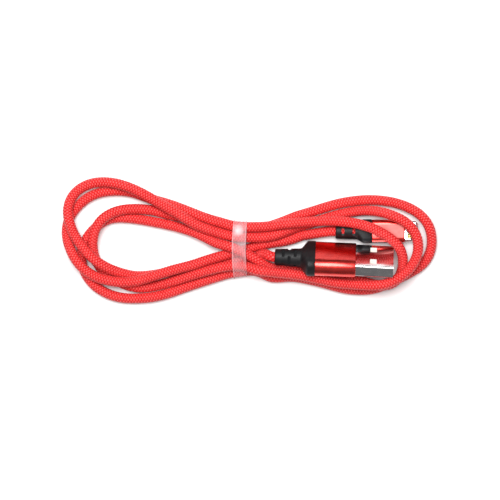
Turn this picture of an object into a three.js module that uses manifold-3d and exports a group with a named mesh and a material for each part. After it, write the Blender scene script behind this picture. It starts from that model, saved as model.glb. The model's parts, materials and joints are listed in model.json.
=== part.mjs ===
// A braided charging cable tied in a hank: a USB-A plug, a slim 8-contact phone plug, the cord
// between them and a clear tape band. Millimetres, +Z up, lying on the plane z = 0.
import * as THREE from "three";
import { mergeVertices } from "three/addons/utils/BufferGeometryUtils.js";
import Module from "manifold-3d";

const wasm = await Module();
wasm.setup();

// Fits
const SLIDE_GAP = 0.3; // between a piece and the one that holds it
const FIT_GAP = 0.1; // between small seated pieces
const SHELL_GAP = 0.2; // between the USB shell and the sleeve round it
const CORNER_STEPS = 7; // facets on each rounded corner
const CUT_MARGIN = 1; // how far a cutting solid runs past what it cuts

// Cord
const CORD_DIAMETER = 3.5;
const CORD_SIDES = 8;
const CORD_STEPS = 110;
const CORD_LEAD = 1.5; // how far the cord runs straight out of each boot
const WIRE_DIAMETER = 0.6;
const WIRE_SPREAD = 0.6; // from the cord's axis to each wire where the jacket ends
const WIRE_SIDES = 6;
const WIRE_STEPS = 6;

// USB-A plug: lengths run along its axis from the cord end
const USB = {
  place: [8.3, -5.2, 6.2],
  roll: 52,
  pitch: 2,
  yaw: -3.1,
  bootRearRadius: 2.67,
  bootNeckRadius: 3.17,
  bootNeckLength: 8.6,
  bootFlareLength: 2.5,
  collarLength: 2.2,
  bodyRadius: 2,
  sleeveLength: 13.3,
  sleeveWallSide: 0.5,
  sleeveWallFace: 0.75,
  boreRadius: 0.8,
  shellWidth: 12,
  shellThickness: 4.5,
  shellRadius: 0.64,
  shellWall: 0.3,
  shellShown: 12.6,
  shellHidden: 6.2,
  holeFromTip: 6.7,
  holeSpacing: 6.2,
  holeLength: 2.2,
  holeWidth: 2.4,
  tongueThickness: 1.7,
  tongueSetback: 0.8,
  contactThickness: 0.2,
  contactTail: 3.6,
  contactWidth: 1,
  contactSetback: 1.8,
  contactPlaces: [-3.5, -1, 1, 3.5],
  passageWidth: 10,
  passageHeight: 2,
  wirePitch: 2.2,
  cordDepth: 9.5,
};
// the sleeve closes round the shell
USB.bodyWidth = USB.shellWidth + 2 * (USB.sleeveWallSide + SHELL_GAP);
USB.bodyThickness = USB.shellThickness + 2 * (USB.sleeveWallFace + SHELL_GAP);

// Phone plug
const PHONE = {
  place: [28.5, 3, 2.85],
  roll: 0,
  pitch: 0,
  yaw: 0,
  bootRearRadius: 2.6,
  bootNeckRadius: 2.8,
  bootNeckLength: 7.2,
  bootFlareLength: 2.1,
  collarLength: 2.7,
  bodyWidth: 7.7,
  bodyThickness: 5,
  bodyRadius: 1.5,
  sleeveLength: 10.9,
  sleeveWallSide: 0.5,
  sleeveWallFace: 0.5,
  boreRadius: 1,
  tipWidth: 6.65,
  tipThickness: 1.5,
  tipLength: 4.4,
  tipBevel: 0.9,
  tipEdgeRadius: 0.65,
  tipRootWidth: 5.2,
  tipRootLength: 0.9,
  windowWidth: 5.2,
  windowLength: 2.6,
  windowFromTip: 0.95,
  contactCount: 8,
  contactPitch: 0.6,
  contactWidth: 0.34,
  contactLength: 1.9,
  boardWidth: 5,
  boardThickness: 0.8,
  boardLength: 8.4,
  chip: [3, 2.4],
  passageHeight: 2.6,
  wirePitch: 1.1,
  cordDepth: 8,
};
const COLLAR_STEP = 0.1; // how far each collar stands out past its sleeve
const BOOT_BEVEL = 0.3; // on each boot's rim, where the cord comes out
const MOUTH_FLARE = 0.3; // how far each boot's bore opens out at its mouth
const SLOT_WIDTH = 0.9; // flex slots in the boots
const SLOT_DEPTH = 0.95;
const SLOT_SPAN = 3;

// Clear band round the bundle
const BAND = { centre: [-3.4, -3.2], length: 4.6, width: 20, height: 7.9, radius: 2, wall: 0.2 };

// The cord's route, from the phone plug's boot to the USB-A plug's boot.
const ROUTE = [
  // phone plug to the band, then round the second left loop
  [24, 2.6, 2.7], [20.7, 2.1, 2.5], [14.8, 0.9, 2.2], [7.5, -0.8, 2], [2.5, -2.2, 2],
  [-0.7, -3.2, 1.9], [-3.3, -3.9, 2], [-5.7, -4.7, 3.3], [-9.3, -5.3, 4.6], [-12.4, -6.2, 5.2],
  [-18, -8, 5.4], [-25.5, -9.9, 5.4], [-32.9, -12.2, 5.4], [-38.9, -13.8, 5.3],
  [-45.5, -13.7, 5.3], [-52.3, -11.7, 5.2], [-57, -7.8, 5.2], [-60, -2.5, 3.4], [-61.2, 2.2, 1.9],
  [-60.4, 7.2, 1.8], [-58.2, 10.4, 1.8], [-55.5, 13.2, 1.8], [-51.3, 15.5, 1.8],
  [-46, 16.4, 1.8], [-40.5, 16.2, 1.8], [-34, 14.1, 2], [-27, 11.4, 2.4], [-18, 8, 4.2],
  [-11.3, 5.7, 5.2], [-5.6, 4.6, 5.3], [-0.3, 4.3, 5.3],
  // inner right loop, over both plugs and round the shell's tip
  [7.3, 4.6, 5.3], [13.7, 5.4, 5.3], [20.3, 6.1, 5.4], [27, 6.4, 6.2], [34, 5.7, 7.3],
  [39.3, 4.4, 7.7], [43.3, 2.5, 7.9], [47, 0.1, 8.2], [49.8, -2.8, 7.6], [50.6, -6, 6.2],
  [50.7, -9, 5], [49.8, -12, 4.7], [47.2, -14.5, 4.8], [43.4, -15.1, 4.8], [39.5, -14.4, 4.2],
  [36, -13.4, 3.2], [32, -12.4, 2.3], [26, -11.1, 1.8], [19, -9.7, 1.8], [13, -9, 2.1],
  [8.7, -9.3, 2.7], [5.2, -8.4, 4], [2.2, -6.4, 6], [-0.7, -4.9, 5.6], [-3.3, -3.8, 5.6],
  // innermost left loop
  [-5.7, -2.9, 5.6], [-10.5, -0.7, 5.2], [-17, 2, 3.6], [-25, 4.6, 2.2], [-33.5, 6.3, 1.8],
  [-40.5, 7.4, 1.8], [-45.8, 7.4, 1.8], [-50.2, 5.3, 1.8], [-53.6, 1.8, 1.8],
  [-55.8, -2.2, 1.8], [-56.4, -6.2, 1.8], [-55.2, -10.4, 1.8], [-53, -14, 1.8],
  [-49.2, -17, 1.8], [-44.5, -18.9, 1.8], [-39, -19.5, 1.8], [-33, -18.9, 1.8],
  [-27, -17.4, 1.8], [-20, -15.2, 1.8], [-11.3, -12.4, 1.8], [-5.3, -10.6, 1.95],
  [-0.7, -10.1, 1.95],
  // outer right loop
  [6.2, -10.8, 1.8], [12, -11.6, 1.8], [17.7, -12.5, 1.8], [26, -14.7, 1.8], [33, -16.4, 1.8],
  [40, -16.3, 1.8], [46.8, -14.2, 1.8], [52.5, -11.3, 1.8], [57.5, -8.2, 1.8],
  [60.2, -3.8, 1.8], [60.5, 0.8, 2.8], [59.3, 5.3, 3.6], [55.4, 9.4, 3.2], [49.2, 12.2, 2],
  [42.5, 13.3, 1.8], [36, 13.2, 1.8], [29.3, 12.1, 1.8], [21.5, 9.8, 1.8], [13, 6.9, 1.8],
  [6, 4.5, 1.8], [-0.7, 3, 1.95], [-5.7, 3, 1.95],
  // third left loop
  [-11.5, 5.2, 1.8], [-18.5, 7.2, 1.8], [-26, 9, 1.8], [-33.5, 10.1, 2.3], [-40.5, 10.2, 3.4],
  [-46, 8.9, 4.7], [-50, 6, 5.3], [-52, 1.8, 5], [-52.4, -2.2, 3.4], [-51.6, -6.3, 2.3],
  [-49.5, -9.8, 1.9], [-46, -12.6, 1.8], [-41.3, -14.9, 1.8], [-36, -16, 1.8],
  [-30, -15.2, 1.8], [-25.5, -13.8, 2.6], [-18, -11.2, 4], [-11.8, -9.4, 5], [-5.7, -8.6, 5.3],
  [-0.7, -8.6, 5.4],
  // second right loop
  [5.7, -10.1, 6.1], [11, -11, 5.8], [17.7, -11.9, 5.4], [26, -13.7, 5.3], [31.7, -14.6, 5.7],
  [36, -14.8, 6.6], [40.3, -15, 7.6], [44.6, -14.7, 8], [49, -12.7, 8.2], [53.3, -9, 8],
  [55.5, -4.6, 7.4], [55.7, -0.8, 7.1], [54.6, 2.6, 7.3], [51.4, 6, 7.5], [46.8, 8.3, 7],
  [42.2, 9.6, 5], [36.7, 9.8, 2.8], [31, 8.8, 1.8], [24.5, 7, 1.8], [17, 4.4, 2],
  [11.5, 2.6, 3.4], [6.5, 1.2, 4.4], [-0.7, 1, 4.9], [-5.7, 1.2, 5],
  // first left loop, over the others
  [-10.3, 2.5, 5.1], [-17, 5.2, 5.4], [-24, 9, 5.8], [-30, 12.2, 5.4], [-36, 15.6, 5.4],
  [-42.5, 18.3, 5.4], [-49, 19.3, 4.2], [-54.5, 18.3, 3.6], [-58.6, 15.3, 3.8],
  [-60.4, 11.4, 4.6], [-60.2, 6.8, 5.3], [-58.5, 2, 5.3], [-55.8, -2, 6.4],
  [-52.2, -6, 7], [-48.2, -8.8, 6], [-43.5, -10.8, 3.8], [-38.6, -12, 1.9], [-33, -11.7, 1.8],
  [-26, -10.4, 1.8], [-18.5, -8.6, 1.8], [-11, -7.4, 1.8], [-5.7, -7, 1.95], [-0.7, -6.7, 2],
  [2, -5.6, 2.8], [4.6, -5.1, 4.3],
];

const deg = THREE.MathUtils.degToRad;

function finish(colour, roughness, metalness = 0, extra = {}) {
  return new THREE.MeshStandardMaterial({ color: colour, roughness, metalness, ...extra });
}
const finishes = {
  braid: finish(0xd81e24, 0.8),
  anodised: finish(0xb8141a, 0.3, 0.9),
  rubber: finish(0x161719, 0.6),
  steel: finish(0xc9c9cb, 0.15, 1),
  gold: finish(0xd9a441, 0.25, 1),
  ivory: finish(0xeeeade, 0.5),
  blackPlastic: finish(0x1b1b1d, 0.45),
  board: finish(0x1d6b3a, 0.5),
  clear: finish(0xf2f2f2, 0.15, 0, { transparent: true, opacity: 0.45 }),
  wireRed: finish(0xb3201d, 0.45),
  wireBlack: finish(0x1a1a1a, 0.45),
  wireWhite: finish(0xe6e6e2, 0.45),
  wireGreen: finish(0x1f7d3c, 0.45),
};

// A rounded rectangle across the plug's axis, as [y, z] points in order.
function section(width, thickness, radius) {
  const points = [];
  const corners = [[1, 1], [-1, 1], [-1, -1], [1, -1]];
  corners.forEach(([sy, sz], corner) => {
    for (let i = 0; i <= CORNER_STEPS; i++) {
      const angle = deg(90 * (corner + i / CORNER_STEPS));
      points.push([
        sy * (width / 2 - radius) + radius * Math.cos(angle),
        sz * (thickness / 2 - radius) + radius * Math.sin(angle),
      ]);
    }
  });
  return points;
}
const ROUND_SHARE = 0.97; // a circle is a square section with nearly full corners
const round = (radius) => section(2 * radius, 2 * radius, radius * ROUND_SHARE);

// A closed skin through sections given as [x, points], from the lowest x up.
function loft(stations) {
  const count = stations[0][1].length;
  const positions = stations.flatMap(([x, points]) => points.flatMap(([y, z]) => [x, y, z]));
  const faces = [];
  for (let s = 0; s + 1 < stations.length; s++) {
    for (let i = 0; i < count; i++) {
      const a = s * count + i;
      const b = s * count + ((i + 1) % count);
      faces.push(a, b, a + count, b, b + count, a + count);
    }
  }
  const rear = positions.length / 3;
  positions.push(stations[0][0], 0, 0, stations.at(-1)[0], 0, 0);
  for (let i = 0; i < count; i++) {
    const j = (i + 1) % count;
    const last = (stations.length - 1) * count;
    faces.push(rear, j, i, rear + 1, last + i, last + j);
  }
  const geometry = new THREE.BufferGeometry();
  geometry.setAttribute("position", new THREE.Float32BufferAttribute(positions, 3));
  geometry.setIndex(faces);
  geometry.computeVertexNormals();
  return geometry;
}

function box(from, to) {
  const size = to.map((value, axis) => value - from[axis]);
  const geometry = new THREE.BoxGeometry(...size);
  return geometry.translate(...to.map((value, axis) => (value + from[axis]) / 2));
}

function solid(geometry) {
  const bare = geometry.clone();
  bare.deleteAttribute("normal");
  bare.deleteAttribute("uv");
  const merged = mergeVertices(bare, 1e-4);
  return new wasm.Manifold(
    new wasm.Mesh({
      numProp: 3,
      vertProperties: merged.attributes.position.array,
      triVerts: new Uint32Array(merged.index.array),
    }),
  );
}

function cut(geometry, tools) {
  const left = tools.reduce((body, tool) => body.subtract(solid(tool)), solid(geometry)).getMesh();
  const made = new THREE.BufferGeometry();
  made.setAttribute("position", new THREE.BufferAttribute(new Float32Array(left.vertProperties), 3));
  made.setIndex(new THREE.BufferAttribute(new Uint32Array(left.triVerts), 1));
  made.computeVertexNormals();
  return made;
}

function tube(path, diameter, sides, steps) {
  const outline = new THREE.Shape();
  for (let i = 0; i < sides; i++) {
    const angle = (2 * Math.PI * i) / sides;
    const at = [(diameter / 2) * Math.cos(angle), (diameter / 2) * Math.sin(angle)];
    if (i === 0) outline.moveTo(...at);
    else outline.lineTo(...at);
  }
  outline.closePath();
  return new THREE.ExtrudeGeometry(outline, { steps, bevelEnabled: false, extrudePath: path });
}

function add(parent, name, geometry, material) {
  const mesh = new THREE.Mesh(geometry, material);
  mesh.name = name;
  parent.add(mesh);
  return mesh;
}

function plugGroup(parent, spec) {
  const plug = new THREE.Group();
  plug.position.set(...spec.place);
  plug.rotation.set(-deg(spec.roll), -deg(spec.pitch), deg(spec.yaw), "ZYX");
  parent.add(plug);
  plug.updateWorldMatrix(true, false);
  return plug;
}

// Where a plug's pieces start and end along its axis.
function stations(spec) {
  const neckEnd = spec.bootNeckLength;
  const flareEnd = neckEnd + spec.bootFlareLength;
  const collarEnd = flareEnd + spec.collarLength;
  const sleeveStart = collarEnd + FIT_GAP;
  return { neckEnd, flareEnd, collarEnd, sleeveStart, sleeveEnd: sleeveStart + spec.sleeveLength };
}

// The boot: a tapered neck that flares into a collar, bored for the cord and its wires.
function boot(spec, slots) {
  const at = stations(spec);
  const collar = section(
    spec.bodyWidth + 2 * COLLAR_STEP,
    spec.bodyThickness + 2 * COLLAR_STEP,
    spec.bodyRadius + COLLAR_STEP,
  );
  const skin = loft([
    [0, round(spec.bootRearRadius - BOOT_BEVEL)],
    [BOOT_BEVEL, round(spec.bootRearRadius)],
    [at.neckEnd, round(spec.bootNeckRadius)],
    [at.flareEnd, collar],
    [at.collarEnd, collar],
  ]);
  const cordBore = loft([
    [-CUT_MARGIN, round(CORD_DIAMETER / 2 + SLIDE_GAP + MOUTH_FLARE)],
    [spec.bootFlareLength, round(CORD_DIAMETER / 2 + SLIDE_GAP)],
    [spec.cordDepth + SLIDE_GAP, round(CORD_DIAMETER / 2 + SLIDE_GAP)],
  ]);
  const wireBore = loft([
    [spec.cordDepth, round(WIRE_SPREAD + WIRE_DIAMETER + SLIDE_GAP)],
    [at.collarEnd + CUT_MARGIN, round(WIRE_SPREAD + WIRE_DIAMETER + SLIDE_GAP)],
  ]);
  const slotCuts = slots.map(([x, angle]) => {
    const inner = spec.bootNeckRadius - SLOT_DEPTH;
    const outer = spec.bootNeckRadius + CUT_MARGIN;
    const shape = box(
      [x, -SLOT_SPAN / 2, inner],
      [x + SLOT_WIDTH, SLOT_SPAN / 2, outer],
    );
    return shape.rotateX(deg(angle));
  });
  return cut(skin, [cordBore, wireBore, ...slotCuts]);
}

function pipe(from, to, outer, inner) {
  return cut(loft([[from, outer], [to, outer]]), [
    loft([[from - CUT_MARGIN, inner], [to + CUT_MARGIN, inner]]),
  ]);
}

function sleeve(spec) {
  const at = stations(spec);
  const inside = section(
    spec.bodyWidth - 2 * spec.sleeveWallSide,
    spec.bodyThickness - 2 * spec.sleeveWallFace,
    spec.boreRadius,
  );
  const outside = section(spec.bodyWidth, spec.bodyThickness, spec.bodyRadius);
  return pipe(at.sleeveStart, at.sleeveEnd, outside, inside);
}

// The moulded block in a sleeve, with a flat passage for wires and solder joints.
function mould(spec, from, to, passage) {
  const outer = section(
    spec.bodyWidth - 2 * (spec.sleeveWallSide + FIT_GAP),
    spec.bodyThickness - 2 * (spec.sleeveWallFace + FIT_GAP),
    spec.boreRadius - FIT_GAP,
  );
  const [width, height] = passage;
  const slot = box([from - CUT_MARGIN, -width / 2, -height / 2], [to + CUT_MARGIN, width / 2, height / 2]);
  return cut(loft([[from, outer], [to, outer]]), [slot]);
}

// Wires leave the jacket in a square and spread to their places in a row at reachX.
const WIRE_ANGLES = [225, 135, 45, 315]; // round the cord's axis, in the row's order
const WIRES = [
  ["power", finishes.wireRed],
  ["data_minus", finishes.wireWhite],
  ["data_plus", finishes.wireGreen],
  ["ground", finishes.wireBlack],
];
function addWires(plug, prefix, spec, reachX) {
  const straightTo = stations(spec).collarEnd;
  WIRES.forEach(([name, material], i) => {
    const angle = deg(WIRE_ANGLES[i]);
    const start = [WIRE_SPREAD * Math.cos(angle), WIRE_SPREAD * Math.sin(angle)];
    const points = [
      new THREE.Vector3(spec.cordDepth + SLIDE_GAP, ...start),
      new THREE.Vector3(straightTo, ...start),
      new THREE.Vector3(reachX, (i - (WIRES.length - 1) / 2) * spec.wirePitch, 0),
    ];
    const path = new THREE.CatmullRomCurve3(points, false, "catmullrom", 0);
    add(plug, prefix + name, tube(path, WIRE_DIAMETER, WIRE_SIDES, WIRE_STEPS), material);
  });
}
function buildUsb(root) {
  const plug = plugGroup(root, USB);
  const at = stations(USB);
  const tip = at.sleeveEnd + USB.shellShown;
  const shellStart = at.sleeveEnd - USB.shellHidden;
  const contactStart = shellStart - USB.contactTail;
  const mouldStart = at.sleeveStart + FIT_GAP;

  const slots = [
    [2.3, -97], [2.3, 18], [2.3, 130],
    [4.3, -40], [4.3, 74], [4.3, 186],
    [6.3, -97], [6.3, 18], [6.3, 130],
  ];
  add(plug, "usb_boot", boot(USB, slots), finishes.rubber);
  add(plug, "usb_sleeve", sleeve(USB), finishes.anodised);
  const passage = [USB.passageWidth, USB.passageHeight];
  add(plug, "usb_inner_mould", mould(USB, mouldStart, shellStart - SLIDE_GAP, passage), finishes.ivory);

  const inner = section(
    USB.shellWidth - 2 * USB.shellWall,
    USB.shellThickness - 2 * USB.shellWall,
    USB.shellRadius - USB.shellWall,
  );
  const outer = section(USB.shellWidth, USB.shellThickness, USB.shellRadius);
  const holes = [-1, 1].map((side) => {
    const x = tip - USB.holeFromTip;
    const y = (side * USB.holeSpacing) / 2;
    const reach = USB.shellThickness; // one cut makes a hole in both faces
    return box(
      [x - USB.holeLength / 2, y - USB.holeWidth / 2, -reach],
      [x + USB.holeLength / 2, y + USB.holeWidth / 2, reach],
    );
  });
  add(plug, "usb_shell", cut(pipe(shellStart, tip, outer, inner), holes), finishes.steel);

  const tongueTop = USB.shellThickness / 2 - USB.shellWall - FIT_GAP;
  const tongueHalf = USB.shellWidth / 2 - USB.shellWall - SLIDE_GAP;
  const tongueLow = tongueTop - USB.tongueThickness;
  add(
    plug,
    "usb_tongue",
    box([shellStart + FIT_GAP, -tongueHalf, tongueLow], [tip - USB.tongueSetback, tongueHalf, tongueTop]),
    finishes.ivory,
  );
  const half = USB.contactWidth / 2;
  const top = tongueLow - FIT_GAP / 2;
  WIRES.forEach(([name], i) => {
    const y = USB.contactPlaces[i];
    const strip = box(
      [contactStart, y - half, top - USB.contactThickness],
      [tip - USB.contactSetback, y + half, top],
    );
    add(plug, `usb_contact_${name}`, strip, finishes.gold);
  });
  addWires(plug, "usb_wire_", USB, contactStart - SLIDE_GAP);
  return plug;
}

function buildPhone(root) {
  const plug = plugGroup(root, PHONE);
  const at = stations(PHONE);
  const tipStart = at.sleeveEnd + FIT_GAP;
  const tip = tipStart + PHONE.tipLength;
  const mouldStart = at.sleeveStart + FIT_GAP;
  const boardEnd = at.sleeveEnd - PHONE.tipRootLength - FIT_GAP;
  const boardStart = boardEnd - PHONE.boardLength;

  const slots = [[1.9, 0], [1.9, 120], [1.9, 240], [5.5, 0], [5.5, 120], [5.5, 240]];
  add(plug, "phone_boot", boot(PHONE, slots), finishes.rubber);
  add(plug, "phone_sleeve", sleeve(PHONE), finishes.anodised);
  const passage = [PHONE.tipRootWidth + 2 * FIT_GAP, PHONE.passageHeight];
  add(plug, "phone_inner_mould", mould(PHONE, mouldStart, at.sleeveEnd - FIT_GAP, passage), finishes.ivory);

  const halfBoard = PHONE.boardWidth / 2;
  const face = PHONE.boardThickness / 2;
  add(
    plug,
    "phone_board",
    box([boardStart, -halfBoard, -face], [boardEnd, halfBoard, face]),
    finishes.board,
  );
  const [chipLength, chipWidth] = PHONE.chip;
  const chipX = (boardStart + boardEnd) / 2;
  const chipTop = PHONE.passageHeight / 2 - FIT_GAP;
  add(
    plug,
    "phone_chip",
    box(
      [chipX - chipLength / 2, -chipWidth / 2, face + FIT_GAP / 2],
      [chipX + chipLength / 2, chipWidth / 2, chipTop],
    ),
    finishes.blackPlastic,
  );

  const bevel = PHONE.tipBevel;
  const nose = section(
    PHONE.tipWidth - 2 * bevel,
    PHONE.tipThickness - bevel,
    PHONE.tipEdgeRadius - bevel / 2,
  );
  const blade = section(PHONE.tipWidth, PHONE.tipThickness, PHONE.tipEdgeRadius);
  const tongueRoot = section(PHONE.tipRootWidth, PHONE.tipThickness, PHONE.tipEdgeRadius);
  const frame = loft([
    [tipStart - FIT_GAP - PHONE.tipRootLength, tongueRoot],
    [tipStart, tongueRoot],
    [tipStart + FIT_GAP, blade],
    [tip - bevel, blade],
    [tip, nose],
  ]);
  const windowEnd = tip - PHONE.windowFromTip;
  const windowStart = windowEnd - PHONE.windowLength;
  const halfWindow = PHONE.windowWidth / 2;
  const through = PHONE.tipThickness;
  const windowCut = box([windowStart, -halfWindow, -through], [windowEnd, halfWindow, through]);
  add(plug, "phone_tip_frame", cut(frame, [windowCut]), finishes.steel);

  const gap = FIT_GAP / 2;
  const insertFace = PHONE.tipThickness / 2 - gap;
  const insert = box(
    [windowStart + gap, gap - halfWindow, -insertFace],
    [windowEnd - gap, halfWindow - gap, insertFace],
  );
  const middle = (windowStart + windowEnd) / 2;
  const bar = (index, slack, reach) => {
    const y = (index - (PHONE.contactCount - 1) / 2) * PHONE.contactPitch;
    const halfWidth = PHONE.contactWidth / 2 + slack;
    const halfLength = PHONE.contactLength / 2 + slack;
    return box([middle - halfLength, y - halfWidth, -reach], [middle + halfLength, y + halfWidth, reach]);
  };
  const places = [...Array(PHONE.contactCount).keys()];
  const pockets = places.map((i) => bar(i, gap, through));
  add(plug, "phone_tip_insert", cut(insert, pockets), finishes.blackPlastic);
  places.forEach((i) => add(plug, `phone_contact_${i + 1}`, bar(i, 0, insertFace), finishes.gold));
  addWires(plug, "phone_wire_", PHONE, boardStart - SLIDE_GAP);
  return plug;
}

// The band's section stands across the bundle, so it is drawn in YZ and runs along X.
function buildBand(root) {
  const outer = section(BAND.width, BAND.height, BAND.radius);
  const inner = section(BAND.width - 2 * BAND.wall, BAND.height - 2 * BAND.wall, BAND.radius - BAND.wall);
  const half = BAND.length / 2;
  const band = pipe(-half, half, outer, inner);
  band.translate(BAND.centre[0], BAND.centre[1], BAND.height / 2);
  add(root, "tie_band", band, finishes.clear);
}

function buildCord(root, phone, usb) {
  const along = (plug, x) => plug.localToWorld(new THREE.Vector3(x, 0, 0));
  const points = [
    along(phone, PHONE.cordDepth),
    along(phone, PHONE.cordDepth / 2),
    along(phone, 0),
    along(phone, -CORD_LEAD),
    ...ROUTE.map((point) => new THREE.Vector3(...point)),
    along(usb, -CORD_LEAD),
    along(usb, 0),
    along(usb, USB.cordDepth / 2),
    along(usb, USB.cordDepth),
  ];
  const path = new THREE.CatmullRomCurve3(points, false, "centripetal");
  add(root, "cord", tube(path, CORD_DIAMETER, CORD_SIDES, CORD_STEPS), finishes.braid);
}

const hank = new THREE.Group();
const usbPlug = buildUsb(hank);
const phonePlug = buildPhone(hank);
buildBand(hank);
buildCord(hank, phonePlug, usbPlug);

export default hank;
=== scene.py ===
import json
import math

import bpy
import numpy as np
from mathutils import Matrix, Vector


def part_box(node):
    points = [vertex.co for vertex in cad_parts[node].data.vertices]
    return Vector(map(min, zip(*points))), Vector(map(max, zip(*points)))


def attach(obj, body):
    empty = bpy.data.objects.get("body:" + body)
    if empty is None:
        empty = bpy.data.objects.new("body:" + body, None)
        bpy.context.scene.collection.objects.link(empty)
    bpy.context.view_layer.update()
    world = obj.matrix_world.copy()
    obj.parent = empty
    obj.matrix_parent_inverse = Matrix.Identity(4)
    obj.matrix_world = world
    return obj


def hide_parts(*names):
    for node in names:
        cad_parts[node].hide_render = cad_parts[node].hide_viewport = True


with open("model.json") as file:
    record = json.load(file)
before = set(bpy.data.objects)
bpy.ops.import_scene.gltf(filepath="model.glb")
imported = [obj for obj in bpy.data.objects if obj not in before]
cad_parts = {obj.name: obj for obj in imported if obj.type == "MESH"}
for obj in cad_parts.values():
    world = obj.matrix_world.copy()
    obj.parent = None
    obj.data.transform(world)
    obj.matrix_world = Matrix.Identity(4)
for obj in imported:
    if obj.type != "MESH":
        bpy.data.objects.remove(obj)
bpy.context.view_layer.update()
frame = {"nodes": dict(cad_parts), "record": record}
scene = bpy.context.scene
nodes = frame["nodes"]
mm = 0.001
print("frame loaded")

# camera, straight above the hank
cameraValues = {
    "lensMm": 180.0,
    "sensorMm": 36.0,
    "seenWidth": 0.1667,
    "lookAt": (0.0, -0.0033, 0.003),
    "nearest": 0.01,
    "farthest": 10.0,
}
cameraData = bpy.data.cameras.new("camera")
camera = bpy.data.objects.new("camera", cameraData)
scene.collection.objects.link(camera)
cameraData.lens = cameraValues["lensMm"]
cameraData.sensor_width = cameraValues["sensorMm"]
cameraData.clip_start = cameraValues["nearest"]
cameraData.clip_end = cameraValues["farthest"]
cameraHeight = cameraValues["seenWidth"] * cameraValues["lensMm"] / cameraValues["sensorMm"]
camera.location = Vector(cameraValues["lookAt"]) + Vector((0.0, 0.0, cameraHeight))
scene.camera = camera
print("camera placed")


# mesh helpers
meshValues = {
    "sharpDegrees": 35.0,
    "cornerSteps": 8,
    "leastCorner": 1e-6,
}


def newPiece(name, points, faces, material, sharpDegrees=meshValues["sharpDegrees"]):
    mesh = bpy.data.meshes.new(name)
    mesh.from_pydata([tuple(p) for p in points], [], [tuple(int(i) for i in f) for f in faces])
    mesh.polygons.foreach_set("use_smooth", [True] * len(mesh.polygons))
    mesh.set_sharp_from_angle(angle=math.radians(sharpDegrees))
    mesh.materials.append(material)
    mesh.update()
    piece = bpy.data.objects.new(name, mesh)
    scene.collection.objects.link(piece)
    return piece


def gridFaces(rings, sides, closedAlong=False):
    ring = np.arange(rings if closedAlong else rings - 1)
    side = np.arange(sides)
    a = (ring[:, None] * sides + side[None, :]).ravel()
    b = (ring[:, None] * sides + (side[None, :] + 1) % sides).ravel()
    nextRing = (ring + 1) % rings
    c = (nextRing[:, None] * sides + (side[None, :] + 1) % sides).ravel()
    d = (nextRing[:, None] * sides + side[None, :]).ravel()
    return np.stack([a, b, c, d], axis=1)


def roundedSection(width, thickness, radius, steps=meshValues["cornerSteps"]):
    least = meshValues["leastCorner"]
    radius = max(min(radius, width / 2 - least, thickness / 2 - least), least)
    points = []
    for corner, (sy, sz) in enumerate(((1, 1), (-1, 1), (-1, -1), (1, -1))):
        for i in range(steps + 1):
            angle = math.radians(90 * (corner + i / steps))
            points.append((
                sy * (width / 2 - radius) + radius * math.cos(angle),
                sz * (thickness / 2 - radius) + radius * math.sin(angle),
            ))
    return np.array(points)


def roundSection(radius, steps=meshValues["cornerSteps"]):
    count = 4 * (steps + 1)
    angle = np.arange(count) * 2 * math.pi / count
    return radius * np.stack([np.cos(angle), np.sin(angle)], axis=1)


def blendSections(a, b, share):
    return a * (1 - share) + b * share


# a plug's own frame: its origin at the boot's mouth, x towards the tip, z out of its wide face
class PlugFrame:
    def __init__(self, axis, face, through, bootName):
        self.x = Vector(axis).normalized()
        face = Vector(face)
        self.z = (face - self.x * face.dot(self.x)).normalized()
        self.y = self.z.cross(self.x)
        boot = np.array([v.co for v in nodes[bootName].data.vertices], float)
        reach = (boot - np.array(through)) @ np.array(self.x)
        self.origin = Vector(through) + self.x * float(reach.min())
        self.matrix = np.array([self.x, self.y, self.z], float)

    def place(self, points):
        return np.asarray(points, float) @ self.matrix + np.array(self.origin)

    def local(self, points):
        return (np.asarray(points, float) - np.array(self.origin)) @ self.matrix.T

    def span(self, node):
        own = self.local([v.co for v in nodes[node].data.vertices])
        return own.min(0), own.max(0)


def boxCentre(node):
    low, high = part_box(node)
    return (low + high) / 2


usbFace = next(m for m in frame["record"]["mounts"] if m["name"] == "usb_shell_face")["axis"]
usb = PlugFrame(boxCentre("usb_shell") - boxCentre("usb_boot"), usbFace, boxCentre("usb_boot"), "usb_boot")
phone = PlugFrame((1, 0, 0), (0, 0, 1), boxCentre("phone_boot"), "phone_boot")
print("plug frames found")


# material helpers
noiseValues = {
    "low": 0.3,
    "high": 0.7,
    "wideShare": 0.2,
    "wideDetail": 2.0,
    "fineDetail": 4.0,
}


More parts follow.
